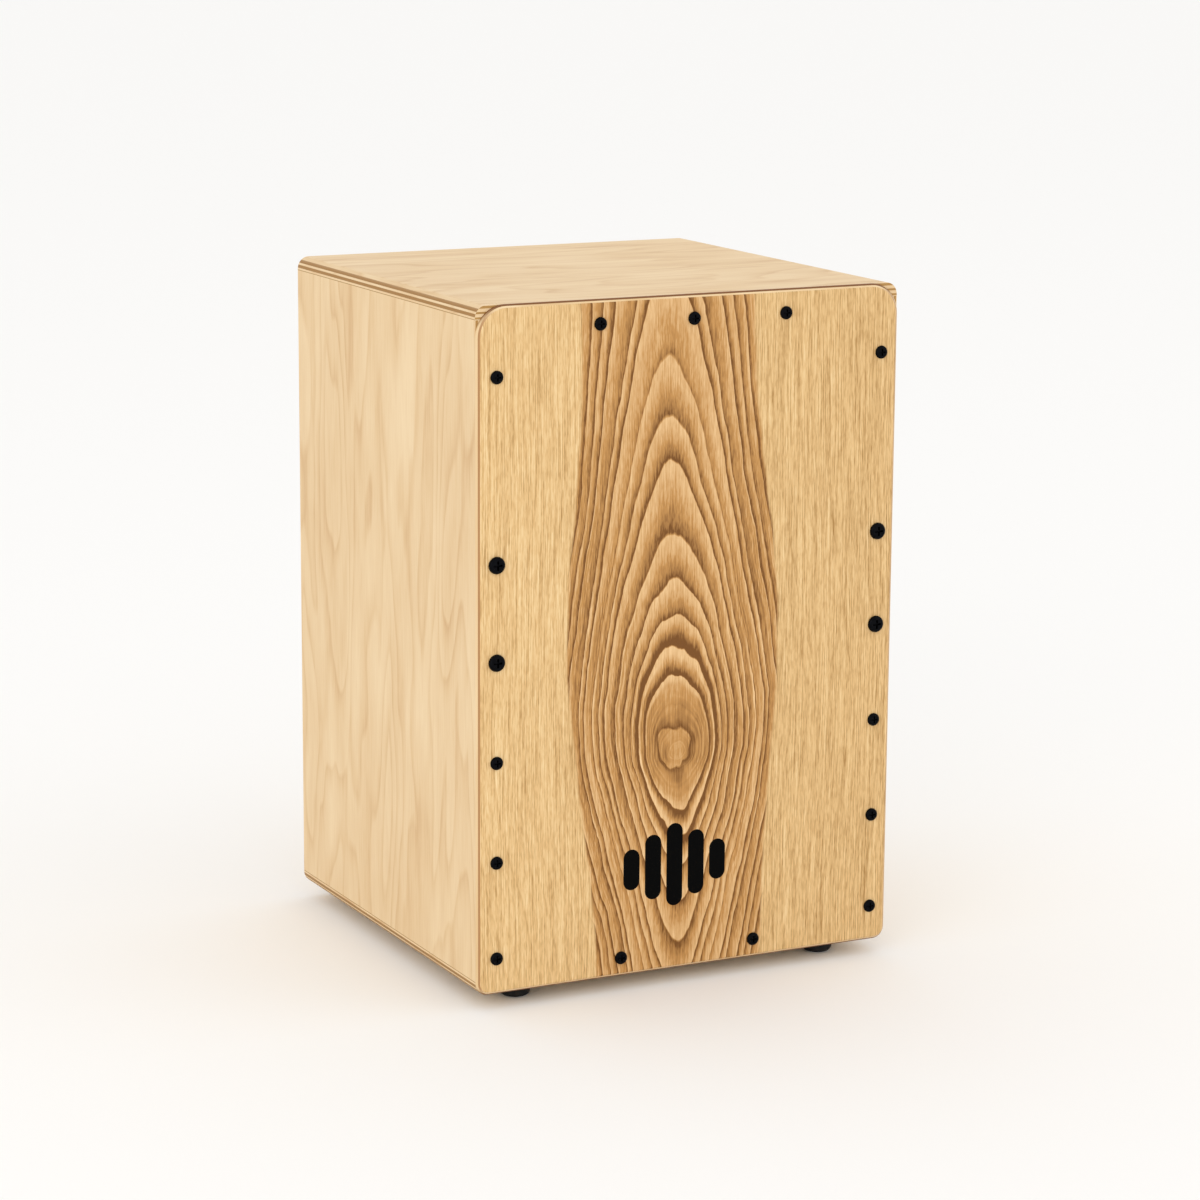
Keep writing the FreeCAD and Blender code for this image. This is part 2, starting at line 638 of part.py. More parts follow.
seat_and_floor_boards()
side_boards()
back_board()
back_strips()
striking_plate()
front_battens()
plate_fixings()
feet()
foot_fixings()
cheek_blocks()
snare_rail()
pivot_fixings()
snare_fixings()
check_and_write()
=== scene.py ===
import math

import bpy
from mathutils import Matrix, Vector


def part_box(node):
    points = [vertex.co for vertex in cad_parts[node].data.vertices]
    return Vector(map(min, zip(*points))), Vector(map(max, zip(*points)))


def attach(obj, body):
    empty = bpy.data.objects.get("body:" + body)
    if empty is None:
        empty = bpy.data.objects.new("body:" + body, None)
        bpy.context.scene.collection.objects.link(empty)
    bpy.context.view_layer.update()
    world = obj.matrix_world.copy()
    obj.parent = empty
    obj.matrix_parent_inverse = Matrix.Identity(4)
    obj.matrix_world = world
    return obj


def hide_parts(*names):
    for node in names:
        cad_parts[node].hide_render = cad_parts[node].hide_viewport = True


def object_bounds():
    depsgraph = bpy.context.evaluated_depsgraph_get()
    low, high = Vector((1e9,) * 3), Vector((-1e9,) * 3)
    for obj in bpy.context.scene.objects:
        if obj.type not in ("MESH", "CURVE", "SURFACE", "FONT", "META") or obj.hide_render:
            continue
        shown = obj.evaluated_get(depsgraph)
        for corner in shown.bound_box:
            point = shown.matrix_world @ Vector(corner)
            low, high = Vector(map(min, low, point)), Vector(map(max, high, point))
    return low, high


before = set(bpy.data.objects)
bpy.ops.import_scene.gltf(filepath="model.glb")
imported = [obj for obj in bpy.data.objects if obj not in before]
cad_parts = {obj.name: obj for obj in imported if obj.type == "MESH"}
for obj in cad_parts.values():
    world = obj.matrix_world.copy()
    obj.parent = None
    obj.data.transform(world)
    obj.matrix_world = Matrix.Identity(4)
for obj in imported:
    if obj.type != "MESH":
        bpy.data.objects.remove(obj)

cad_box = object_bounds()
MM = 0.001


# ---- The studio -------------------------------------------------------------------------------
# A sheet of pale seamless paper on the floor, an even white surround and two wide soft lights.
# The camera stands to the drum's left, a little above it, with a long lens.

PAPER_SIDE, PAPER_LEVEL = 60.0, -0.0001
PAPER_COLOUR, PAPER_PALE = "#F7F6F4", "#FBFAF8"
PAPER_FIBRE = 0.9
SURROUND_COLOUR = "#FFFFFF"
SURROUND_STRENGTH = 1.0
KEY_LIGHT = {"place": (-3.2, -3.2, 1.7), "side": 2.6, "watts": 30}
FILL_LIGHT = {"place": (3.4, -2.6, 1.6), "side": 2.6, "watts": 12}
CAMERA_PLACE = (-1.0873, -2.1724, 0.7351)
CAMERA_YAW, CAMERA_DOWN, CAMERA_ROLL = 26.744, 11.818, 0.359
LENS, SENSOR = 110.57, 36.0

scene = bpy.context.scene
scene.view_settings.view_transform = "Standard"


def linear(colour):
    """An sRGB hex colour as linear red, green and blue, with full alpha."""
    parts = [int(colour[start:start + 2], 16) / 255 for start in (1, 3, 5)]
    light = [part / 12.92 if part <= 0.04045 else ((part + 0.055) / 1.055) ** 2.4 for part in parts]
    return (*light, 1.0)


def add(tree, kind, *sources, inputs=None, **settings):
    """Add a shader node, with its settings, and feed its inputs by rank or by name.

    A source is another node (its first output), a socket or a constant; None leaves an input alone.
    """
    node = tree.nodes.new("ShaderNode" + kind)
    for name, value in settings.items():
        setattr(node, name, value)
    feeds = [*enumerate(sources), *(inputs or {}).items()]
    for socket, source in feeds:
        if isinstance(source, bpy.types.Node):
            source = source.outputs[0]
        if isinstance(source, bpy.types.NodeSocket):
            tree.links.new(source, node.inputs[socket])
        elif source is not None:
            node.inputs[socket].default_value = source
    return node


def new_material(name):
    """An empty node material, the object's place in millimetres, and its surface normal."""
    material = bpy.data.materials.new(name)
    material.use_nodes = True
    tree = material.node_tree
    tree.nodes.clear()
    where = add(tree, "TexCoord")
    place = add(tree, "VectorMath", where.outputs["Object"], operation="SCALE", inputs={"Scale": 1 / MM})
    return material, tree, place, where.outputs["Normal"]


def finish_material(tree, shader):
    """Send a shader to the surface."""
    add(tree, "OutputMaterial", shader)


def seamless_paper():
    """Matt paper: soft and even, with a fibre that only shows close to."""
    material, tree, place, _ = new_material("seamless_paper")
    fibre = add(tree, "TexNoise", place, inputs={"Scale": 1 / PAPER_FIBRE, "Detail": 2.0})
    bump = add(tree, "Bump", inputs={"Strength": 0.1, "Distance": 0.1 * MM, "Height": fibre})
    tint = add(tree, "MixRGB", fibre, linear(PAPER_COLOUR), linear(PAPER_PALE))
    paper = {"Base Color": tint, "Roughness": 0.9, "IOR": 1.45, "Specular IOR Level": 0.2, "Normal": bump}
    finish_material(tree, add(tree, "BsdfPrincipled", inputs=paper))
    return material


half_paper = PAPER_SIDE / 2
paper_mesh = bpy.data.meshes.new("studio_floor")
paper_corners = [(across, along, PAPER_LEVEL) for across, along in (
    (-half_paper, -half_paper), (half_paper, -half_paper),
    (half_paper, half_paper), (-half_paper, half_paper))]
paper_mesh.from_pydata(paper_corners, [], [(0, 1, 2, 3)])
paper_mesh.materials.append(seamless_paper())
studio_floor = bpy.data.objects.new("studio_floor", paper_mesh)
scene.collection.objects.link(studio_floor)

surround = bpy.data.worlds.new("white_surround")
surround.use_nodes = True
surround.node_tree.nodes.clear()
glow = add(surround.node_tree, "Background", linear(SURROUND_COLOUR), SURROUND_STRENGTH)
add(surround.node_tree, "OutputWorld", glow)
scene.world = surround

drum_middle = (cad_box[0] + cad_box[1]) / 2
for light_name, light in (("key_light", KEY_LIGHT), ("fill_light", FILL_LIGHT)):
    softbox = bpy.data.lights.new(light_name, "AREA")
    softbox.size = light["side"]
    softbox.energy = light["watts"]
    lamp = bpy.data.objects.new(light_name, softbox)
    lamp.location = light["place"]
    lamp.rotation_mode = "QUATERNION"
    lamp.rotation_quaternion = (drum_middle - Vector(light["place"])).to_track_quat("-Z", "Y")
    scene.collection.objects.link(lamp)

camera_data = bpy.data.cameras.new("camera")
camera_data.lens = LENS
camera_data.sensor_width = SENSOR
camera = bpy.data.objects.new("camera", camera_data)
camera.matrix_world = (Matrix.Translation(CAMERA_PLACE)
                       @ Matrix.Rotation(math.radians(-CAMERA_YAW), 4, "Z")
                       @ Matrix.Rotation(math.radians(90 - CAMERA_DOWN), 4, "X")
                       @ Matrix.Rotation(math.radians(CAMERA_ROLL), 4, "Z"))
scene.collection.objects.link(camera)
scene.camera = camera


# ---- The box: top, bottom and side panels, and the back -----------------------------------------
# Birch plywood, peeled from the log and cross-laminated. The four main boards are 9 mm thick, glued
# edge to face, sanded and given a satin lacquer. The back is 5 mm, let in between the other four.

BOARD_PLIES = (0.4, 1.65, 1.95, 1.3, 1.95, 1.3, 0.45)
BACK_PLIES = (0.45, 1.3, 1.5, 1.3, 0.45)
PLY_SHADES = (0.55, 0.25, 0.8, 0.4, 0.7, 0.15, 0.6)
BIRCH_LIGHT, BIRCH_MID, BIRCH_DARK = "#EDD3AA", "#E1C193", "#C99E6C"
BIRCH_END_LIGHT, BIRCH_END_DARK = "#CBA060", "#8B5E28"
X, Y, Z = 0, 1, 2

# the sizes of the wood's figure, fibres and pores: across the grain, along it and into the board
BIRCH_FIGURE = (62, 330, 45)
BIRCH_FIBRE = (0.9, 26, 0.9)
BIRCH_PORE = (0.3, 0.3, 0.3)
BIRCH_RINGS, RING_FADE, RING_SOFTNESS, BIRCH_PALENESS = 11, 3.0, 0.12, -0.33

# how far apart in the log the plies are cut, and the boards, so that no two have the same figure
PLY_APART = 400
BIRCH_APART = Vector((97, 53, 31))


def fit_material(node_name, material):
    """Put a finish on all of a CAD node's material slots."""
    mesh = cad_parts[node_name].data
    for slot_number in range(len(mesh.materials)):
        mesh.materials[slot_number] = material


def birch_plywood(name, through, face, grain, plies, seed):
    """Lacquered birch plywood: pale and faintly figured on its faces, striped on its edges.

    through is the axis across the board, face the place of its show face in millimetres, and grain
    the axis along which the face plies run. The cross plies run along the axis that is left.
    """
    cross = 3 - through - grain
    material, tree, place, normal = new_material(name)
    at = add(tree, "SeparateXYZ", place).outputs
    facing = add(tree, "SeparateXYZ", normal).outputs

    depth = add(tree, "Math", at[through], face, operation="SUBTRACT")
    depth = add(tree, "Math", depth, operation="ABSOLUTE")
    share = add(tree, "Math", depth, sum(plies), operation="DIVIDE")
    layers = add(tree, "ValToRGB", share)
    layers.color_ramp.interpolation = "CONSTANT"
    stops = layers.color_ramp.elements
    reached = 0.0
    for number, ply in enumerate(plies):
        if number < 2:
            stop = stops[number]
            stop.position = reached / sum(plies)
        else:
            stop = stops.new(reached / sum(plies))
        stop.color = (number % 2, PLY_SHADES[number], number / len(plies), 1)
        reached += ply
    layer = add(tree, "SeparateColor", layers).outputs
    turned = layer[0]

    # grain runs along one axis in the face plies and along the other in the cross plies
    along = add(tree, "MapRange", turned, 0, 1, at[grain], at[cross])
    across = add(tree, "MapRange", turned, 0, 1, at[cross], at[grain])
    level = add(tree, "Math", layer[2], PLY_APART, at[through], operation="MULTIPLY_ADD")
    wood = add(tree, "CombineXYZ", across, along, level)
    wood = add(tree, "VectorMath", wood, seed * BIRCH_APART, operation="ADD")

    broad = add(tree, "VectorMath", wood, BIRCH_FIGURE, operation="DIVIDE")
    growth = add(tree, "TexNoise", broad,
                 inputs={"Scale": 1.0, "Detail": 2.5, "Roughness": 0.42, "Distortion": 0.25})
    rings = add(tree, "Math", growth, BIRCH_RINGS, operation="MULTIPLY")
    ring = add(tree, "Math", rings, operation="FRACT")
    fade = add(tree, "Math", 1.0, ring, operation="SUBTRACT")
    line = add(tree, "Math", fade, RING_FADE, operation="POWER")
    soften = add(tree, "MapRange", ring, 0.0, RING_SOFTNESS, 0.0, 1.0)
    line = add(tree, "Math", line, soften, operation="MULTIPLY")

    fine = add(tree, "VectorMath", wood, BIRCH_FIBRE, operation="DIVIDE")
    fibre = add(tree, "TexNoise", fine, inputs={"Scale": 1.0, "Detail": 3.0, "Roughness": 0.6})
    cloud = add(tree, "TexNoise", broad, inputs={"Scale": 2.7, "Detail": 3.0, "Roughness": 0.55})

    shade = BIRCH_PALENESS
    for part, weight in ((cloud, 1.0), (line, 0.5), (fibre, 0.6)):
        shade = add(tree, "Math", part, weight, shade, operation="MULTIPLY_ADD")
    long_grain = add(tree, "ValToRGB", add(tree, "MapRange", shade, 0.15, 1.25, 0.0, 1.0))
    long_grain.color_ramp.elements[0].color = linear(BIRCH_LIGHT)
    long_grain.color_ramp.elements[1].color = linear(BIRCH_DARK)
    long_grain.color_ramp.elements.new(0.5).color = linear(BIRCH_MID)

    # the ends of the fibres drink more lacquer, and so they look brown
    speck = add(tree, "VectorMath", place, BIRCH_PORE, operation="DIVIDE")
    specks = add(tree, "TexNoise", speck, inputs={"Scale": 1.0, "Detail": 2.0})
    end_shade = add(tree, "Math", specks, 0.7, operation="MULTIPLY")
    end_shade = add(tree, "Math", layer[1], 0.5, end_shade, operation="MULTIPLY_ADD")
    end_grain = add(tree, "MixRGB", end_shade, linear(BIRCH_END_LIGHT), linear(BIRCH_END_DARK))
    end_on = add(tree, "MapRange", turned, 0, 1, facing[grain], facing[cross])
    end_on = add(tree, "Math", end_on, operation="ABSOLUTE")
    end_on = add(tree, "MapRange", end_on, 0.25, 0.85, 0.0, 1.0, interpolation_type="SMOOTHSTEP")
    colour = add(tree, "MixRGB", end_on, long_grain, end_grain)

    grit = add(tree, "Math", fibre, 0.6, specks, operation="MULTIPLY_ADD")
    bump = add(tree, "Bump", inputs={"Strength": 0.12, "Distance": 0.1 * MM, "Height": grit})
    gloss = add(tree, "MapRange", fibre, 0.2, 0.8, 0.46, 0.58)
    lacquer = {"Base Color": colour, "Roughness": gloss, "IOR": 1.5, "Specular IOR Level": 0.25,
               "Normal": bump}
    finish_material(tree, add(tree, "BsdfPrincipled", inputs=lacquer))
    return material


for seed, (board, through, side, grain, plies) in enumerate((
        ("top_panel", Z, 1, X, BOARD_PLIES), ("bottom_panel", Z, 0, X, BOARD_PLIES),
        ("left_panel", X, 0, Z, BOARD_PLIES), ("right_panel", X, 1, Z, BOARD_PLIES),
        ("back_panel", Y, 1, Z, BACK_PLIES)), 1):
    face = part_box(board)[side][through] / MM
    fit_material(board, birch_plywood("birch_plywood_" + board, through, face, grain, plies, seed))


# ---- The corner strips ----------------------------------------------------------------------------
# Planed spruce strips, glued into the corners behind the striking plate and in front of the back.
# They give the plate's screws something to bite in. They are left raw: pale, matt and finely lined.

SPRUCE_EARLY, SPRUCE_LATE = "#EFD9B0", "#CFA36B"
SPRUCE_RING, SPRUCE_LEAN, SPRUCE_DRIFT = 2.2, 0.5, 9.0
SPRUCE_WANDER = (30, 240, 30)
SPRUCE_FIBRE = (0.5, 18, 0.5)
SPRUCE_APART = Vector((41, 67, 29))


def along_grain(tree, place, grain, shift):
    """The place with its second axis along the grain, shifted so that each piece is cut elsewhere."""
    at = add(tree, "SeparateXYZ", place).outputs
    sides = [axis for axis in (X, Y, Z) if axis != grain]
    wood = add(tree, "CombineXYZ", at[sides[0]], at[grain], at[sides[1]])
    return add(tree, "VectorMath", wood, shift, operation="ADD")


def raw_spruce(name, grain, seed):
    """Raw planed spruce: straight, close year rings with a narrow dark edge, and no gloss."""
    material, tree, place, normal = new_material(name)
    wood = along_grain(tree, place, grain, seed * SPRUCE_APART)
    drift = add(tree, "VectorMath", wood, SPRUCE_WANDER, operation="DIVIDE")
    drift = add(tree, "TexNoise", drift, inputs={"Scale": 1.0, "Detail": 2.0})
    at = add(tree, "SeparateXYZ", wood).outputs
    radius = add(tree, "Math", at[2], SPRUCE_LEAN, at[0], operation="MULTIPLY_ADD")
    radius = add(tree, "Math", drift, SPRUCE_DRIFT, radius, operation="MULTIPLY_ADD")
    ring = add(tree, "Math", radius, SPRUCE_RING, operation="DIVIDE")
    ring = add(tree, "Math", ring, operation="FRACT")
    late = add(tree, "Math", ring, RING_FADE, operation="POWER")
    fine = add(tree, "VectorMath", wood, SPRUCE_FIBRE, operation="DIVIDE")
    fibre = add(tree, "TexNoise", fine, inputs={"Scale": 1.0, "Detail": 3.0})
    facing = add(tree, "SeparateXYZ", normal).outputs
    end_on = add(tree, "Math", facing[grain], operation="ABSOLUTE")
    shade = 0.0
    for part, weight in ((fibre, 0.35), (late, 0.6), (end_on, 0.3)):
        shade = add(tree, "Math", part, weight, shade, operation="MULTIPLY_ADD")
    colour = add(tree, "MixRGB", shade, linear(SPRUCE_EARLY), linear(SPRUCE_LATE))
    bump = add(tree, "Bump", inputs={"Strength": 0.25, "Distance": 0.1 * MM, "Height": fibre})
    raw = {"Base Color": colour, "Roughness": 0.72, "IOR": 1.5, "Specular IOR Level": 0.3, "Normal": bump}
    finish_material(tree, add(tree, "BsdfPrincipled", inputs=raw))
    return material


for seed, (strip, grain) in enumerate((("left", Z), ("right", Z), ("top", X), ("bottom", X)), 1):
    fit_material("front_batten_" + strip, raw_spruce("raw_spruce_front_" + strip, grain, seed))
    fit_material("back_batten_" + strip, raw_spruce("raw_spruce_back_" + strip, grain, seed + 4))


# ---- The striking plate -----------------------------------------------------------------------------
# Thin plywood faced with flat-sawn ash: one wide leaf with brown heartwood in its middle, whose year
# rings show as arches round an eye, and pale sapwood at both sides. Its edge is bevelled; satin lacquer.

LEAF, CROSS_PLY, PLATE_THICKNESS = 0.6, 1.0, 3.5
HEART_LIGHT, HEART_MID, HEART_DARK = "#F2CC97", "#C18D4D", "#744609"
SAP_LIGHT, SAP_MID, SAP_DARK = "#F8DDAA", "#E0B97F", "#A77C40"
CORE_PALE, CORE_TAN, CORE_END, CROSS_END = "#EED2A6", "#DDB985", "#7A4A1E", "#B08050"

# the eye's place, and the heartwood's half width, which swells a little above the eye
EYE_HEIGHT, EYE_ACROSS, HEART_LEAN = 155.0, -10.0, -0.026
HEART_HALF_WIDTH, HEART_SWELL, SWELL_HEIGHT, SWELL_REACH = 60.0, 15.0, 225.0, 130.0
HEART_EDGE = (-0.8, 1.2)

# the sizes of the rings' slow and quick wanderings, and how far they go across and up the leaf
SLOW_WANDER, SLOW_ACROSS, SLOW_UP = (75, 400, 170), 10.0, 26.0
QUICK_WANDER, QUICK_ACROSS, QUICK_UP = (15, 400, 38), 5.0, 13.0

# how the rings close below the eye, open into arches above it and run out in points below it
EYE_SIZE, EYE_REACH = 22.0, 19.0
ARCH_SLOPE, ARCH_EASE, SIDE_EASE = 14.1, 9.0, 1.05
ARCH_POINT, POINT_EASE, POINT_NEAR, POINT_FAR = 27.0, 8.0, 35.0, 180.0
V_SLOPE, V_FROM = 5.5, 44.0
TAPER_BELOW, TAPER_FROM, TAPER_EASE = 0.10, 45.0, 45.0

# a year's growth: its width, how unlike its neighbours it is, and how its dark early wood fades
RING_SPACING, FIRST_YEAR = 5.2, 0.1
UNEVEN_RATE, UNEVEN_YEARS = 0.11, 1.1
BAND_FADE, LINE_FADE, LINE_WEIGHT, YEAR_START = 1.7, 8.0, 0.65, 0.06
LEAST_STRENGTH, MORE_STRENGTH = 0.4, 0.6
RIM_INSIDE, RIM_OUTSIDE, RIM_STRENGTH = 22.0, 34.0, 0.65

# the quiet wood inside the eye, and the egg-shaped ring in it
QUIET_RADIUS, QUIET_EDGE, QUIETING = 20.0, 25.5, 0.95
EGG_WANDER, EGG_PULL, EGG_RADIUS = (30, 400, 44), 30.0, 14.0
EGG_LINE, EGG_SHADE, EGG_FADE = (-0.4, 0.3), 7.0, 2.2

# the sizes of the fine figure, across the leaf, into it and up it; real pores are a quarter of a
# millimetre wide, and here they are three times that, so that they show
STREAK_SIZE, STEEPNESS, LEAST_STREAK = (1.15, 1, 90), (0.45, 0.95), 0.12
SAP_LINE_SIZE = (0.68, 1, 110)
ASH_FIBRE = (0.75, 40, 22)
ASH_PORE, PORES_IN_EARLY, PORES_ELSEWHERE = (0.8, 40, 5.5), 0.35, 0.10
CORE_FIGURE = (28, 28, 170)

# the broad tones: the heartwood darkens away from the eye, and the sapwood from left to right
TONE_MIDDLE, TONE_NEAR, TONE_FAR, HEART_TONE = 10.0, 40.0, 130.0, 0.10
PLATE_HALF_WIDTH, SAP_TONE_LEFT, SAP_TONE_RIGHT = 150.0, 0.06, 0.19


def ash_veneer():
    """Lacquered ash leaf: bold ringed heartwood and sapwood with fine lines, on a pale plywood core."""
    material, tree, place, normal = new_material("ash_veneer")
    at = add(tree, "SeparateXYZ", place).outputs

    # the log was never quite round: the rings wander, slowly along the grain and faster across it
    slow = add(tree, "VectorMath", place, SLOW_WANDER, operation="DIVIDE")
    slow = add(tree, "TexNoise", slow, inputs={"Scale": 1.0, "Detail": 2.0, "Roughness": 0.4})
    slow = add(tree, "SeparateColor", slow.outputs["Color"]).outputs
    quick = add(tree, "VectorMath", place, QUICK_WANDER, operation="DIVIDE")
    quick = add(tree, "TexNoise", quick, inputs={"Scale": 1.0, "Detail": 4.0, "Roughness": 0.5})
    quick = add(tree, "SeparateColor", quick.outputs["Color"]).outputs
    bent = add(tree, "Math", slow[0], SLOW_ACROSS, at[X], operation="MULTIPLY_ADD")
    across = add(tree, "Math", quick[0], QUICK_ACROSS, bent, operation="MULTIPLY_ADD")
    across = add(tree, "Math", across, EYE_ACROSS + (SLOW_ACROSS + QUICK_ACROSS) / 2, operation="SUBTRACT")
    up = add(tree, "Math", slow[1], SLOW_UP, at[Z], operation="MULTIPLY_ADD")
    up = add(tree, "Math", quick[1], QUICK_UP, up, operation="MULTIPLY_ADD")
    up = add(tree, "Math", up, EYE_HEIGHT + (SLOW_UP + QUICK_UP) / 2, operation="SUBTRACT")

    from_axis = add(tree, "Math", up, -HEART_LEAN, across, operation="MULTIPLY_ADD")
    from_axis = add(tree, "Math", from_axis, operation="ABSOLUTE")
    swell = add(tree, "Math", at[Z], SWELL_HEIGHT, operation="SUBTRACT")
    swell = add(tree, "Math", swell, SWELL_REACH, operation="DIVIDE")
    swell = add(tree, "Math", swell, 2.0, operation="POWER")
    swell = add(tree, "Math", swell, -1.0, operation="MULTIPLY")
    swell = add(tree, "Math", swell, operation="EXPONENT")
    half_width = add(tree, "Math", swell, HEART_SWELL, HEART_HALF_WIDTH, operation="MULTIPLY_ADD")

    # a ring is a line of equal radius, and the radius squared is the distance from the axis squared
    # plus an apex, which grows up the leaf and so makes the arches
    beside = add(tree, "Math", from_axis, from_axis, POINT_EASE ** 2, operation="MULTIPLY_ADD")
    beside = add(tree, "Math", beside, operation="SQRT")
    beside = add(tree, "Math", beside, POINT_EASE, operation="SUBTRACT")
    high = add(tree, "Math", up, 0.0, operation="MAXIMUM")
    ease = add(tree, "Math", beside, SIDE_EASE, ARCH_EASE, operation="MULTIPLY_ADD")
    ease_squared = add(tree, "Math", ease, ease, operation="MULTIPLY")
    arch = add(tree, "Math", high, high, ease_squared, operation="MULTIPLY_ADD")
    arch = add(tree, "Math", arch, operation="SQRT")
    arch = add(tree, "Math", arch, ease, operation="SUBTRACT")

    # below the eye the rings close, and then run out in long points
    low = add(tree, "Math", up, -1.0, operation="MULTIPLY")
    low = add(tree, "Math", low, 0.0, operation="MAXIMUM")
    closing = add(tree, "Math", low, -1 / EYE_REACH, operation="MULTIPLY")
    closing = add(tree, "Math", closing, operation="EXPONENT")
    closing = add(tree, "Math", closing, -EYE_SIZE, EYE_SIZE, operation="MULTIPLY_ADD")
    apex = add(tree, "Math", closing, closing, operation="MULTIPLY")
    apex = add(tree, "Math", arch, ARCH_SLOPE, apex, operation="MULTIPLY_ADD")
    below = add(tree, "Math", low, V_FROM, operation="SUBTRACT")
    below = add(tree, "Math", below, 0.0, operation="MAXIMUM")
    apex = add(tree, "Math", below, V_SLOPE, apex, operation="MULTIPLY_ADD")

    # round by the eye, the arches are the more pointed the further from it they are
    pointed = add(tree, "Math", up, operation="ABSOLUTE")
    pointed = add(tree, "MapRange", pointed, POINT_NEAR, POINT_FAR, 0.0, ARCH_POINT)
    apex = add(tree, "Math", pointed, beside, apex, operation="MULTIPLY_ADD")
    radius = add(tree, "Math", from_axis, from_axis, apex, operation="MULTIPLY_ADD")
    radius = add(tree, "Math", radius, operation="SQRT")
    taper = add(tree, "Math", TAPER_FROM, up, operation="SUBTRACT")
    taper = add(tree, "Math", taper, 0.0, operation="MAXIMUM")
    taper = add(tree, "Math", taper, taper, TAPER_EASE ** 2, operation="MULTIPLY_ADD")
    taper = add(tree, "Math", taper, operation="SQRT")
    taper = add(tree, "Math", taper, TAPER_EASE, operation="SUBTRACT")
    radius = add(tree, "Math", taper, TAPER_BELOW, radius, operation="MULTIPLY_ADD")

    # each year starts with a crisp dark line, which fades outwards; no two years are alike
    uneven = add(tree, "TexNoise", None, radius, noise_dimensions="1D",
                 inputs={"Scale": UNEVEN_RATE, "Detail": 1.0})
    years = add(tree, "Math", radius, RING_SPACING, operation="DIVIDE")
    years = add(tree, "Math", uneven, UNEVEN_YEARS, years, operation="MULTIPLY_ADD")
    years = add(tree, "Math", years, FIRST_YEAR, operation="SUBTRACT")
    year = add(tree, "Math", years, operation="FLOOR")
    part = add(tree, "Math", years, operation="FRACT")
    luck = add(tree, "TexWhiteNoise", None, year, noise_dimensions="1D").outputs["Value"]
    fade = add(tree, "Math", 1.0, part, operation="SUBTRACT")
    band = add(tree, "Math", fade, BAND_FADE, operation="POWER")
    line = add(tree, "Math", fade, LINE_FADE, operation="POWER")
    early = add(tree, "Math", line, LINE_WEIGHT, band, operation="MULTIPLY_ADD")
    start = add(tree, "MapRange", part, 0.0, YEAR_START, 0.0, 1.0)
    early = add(tree, "Math", early, start, operation="MULTIPLY")
    strength = add(tree, "Math", luck, MORE_STRENGTH, LEAST_STRENGTH, operation="MULTIPLY_ADD")
    rim = add(tree, "MapRange", radius, RIM_INSIDE, RIM_OUTSIDE, RIM_STRENGTH, 0.0)
    strength = add(tree, "Math", strength, rim, operation="ADD")
    early = add(tree, "Math", early, strength, operation="MULTIPLY")

    # inside the eye the knife ran along one year's wood: plain brown, with a single egg-shaped ring
    inner = add(tree, "MapRange", radius, QUIET_RADIUS, QUIET_EDGE, 1.0, 0.0,
                interpolation_type="SMOOTHSTEP")
    quiet = add(tree, "Math", inner, -QUIETING, 1.0, operation="MULTIPLY_ADD")
    early = add(tree, "Math", early, quiet, operation="MULTIPLY")
    hollow = add(tree, "VectorMath", place, EGG_WANDER, operation="DIVIDE")
    hollow = add(tree, "TexNoise", hollow, inputs={"Scale": 1.0, "Detail": 3.0, "Roughness": 0.4})
    egg = add(tree, "Math", hollow, EGG_PULL, radius, operation="MULTIPLY_ADD")
    egg = add(tree, "Math", egg, EGG_RADIUS + EGG_PULL / 2, operation="SUBTRACT")
    egg_in = add(tree, "MapRange", egg, *EGG_LINE, 0.0, 1.0)
    egg_out = add(tree, "MapRange", egg, 0.0, EGG_SHADE, 1.0, 0.0)
    egg_out = add(tree, "Math", egg_out, EGG_FADE, operation="POWER")
    egg = add(tree, "Math", egg_in, egg_out, operation="MULTIPLY")
    egg = add(tree, "Math", egg, inner, operation="MULTIPLY")

    # where the knife crossed the rings steeply, finer lines show between the bold ones
    steep = add(tree, "Math", from_axis, radius, operation="DIVIDE")
    steep = add(tree, "MapRange", steep, *STEEPNESS, LEAST_STREAK, 1.0,
                interpolation_type="SMOOTHSTEP")
    streak = add(tree, "CombineXYZ", radius, 0.0, at[Z])
    streak = add(tree, "VectorMath", streak, STREAK_SIZE, operation="DIVIDE")
    streak = add(tree, "TexNoise", streak, inputs={"Scale": 1.0, "Detail": 2.0, "Roughness": 0.6})
    streak = add(tree, "MapRange", streak, 0.36, 0.64, 0.0, 1.0)
    streaks = add(tree, "Math", streak, steep, operation="MULTIPLY")

    # fibres run up the leaf, and the wide pores of the early wood show as short dark dashes
    fine = add(tree, "VectorMath", place, ASH_FIBRE, operation="DIVIDE")
    fibre = add(tree, "TexNoise", fine, inputs={"Scale": 1.0, "Detail": 2.0, "Roughness": 0.6})
    fibre = add(tree, "MapRange", fibre, 0.32, 0.68, 0.0, 1.0)
    dash = add(tree, "VectorMath", place, ASH_PORE, operation="DIVIDE")
    pores = add(tree, "TexNoise", dash, inputs={"Scale": 1.0, "Detail": 1.0})
    pores = add(tree, "MapRange", pores, 0.42, 0.66, 0.0, 1.0)

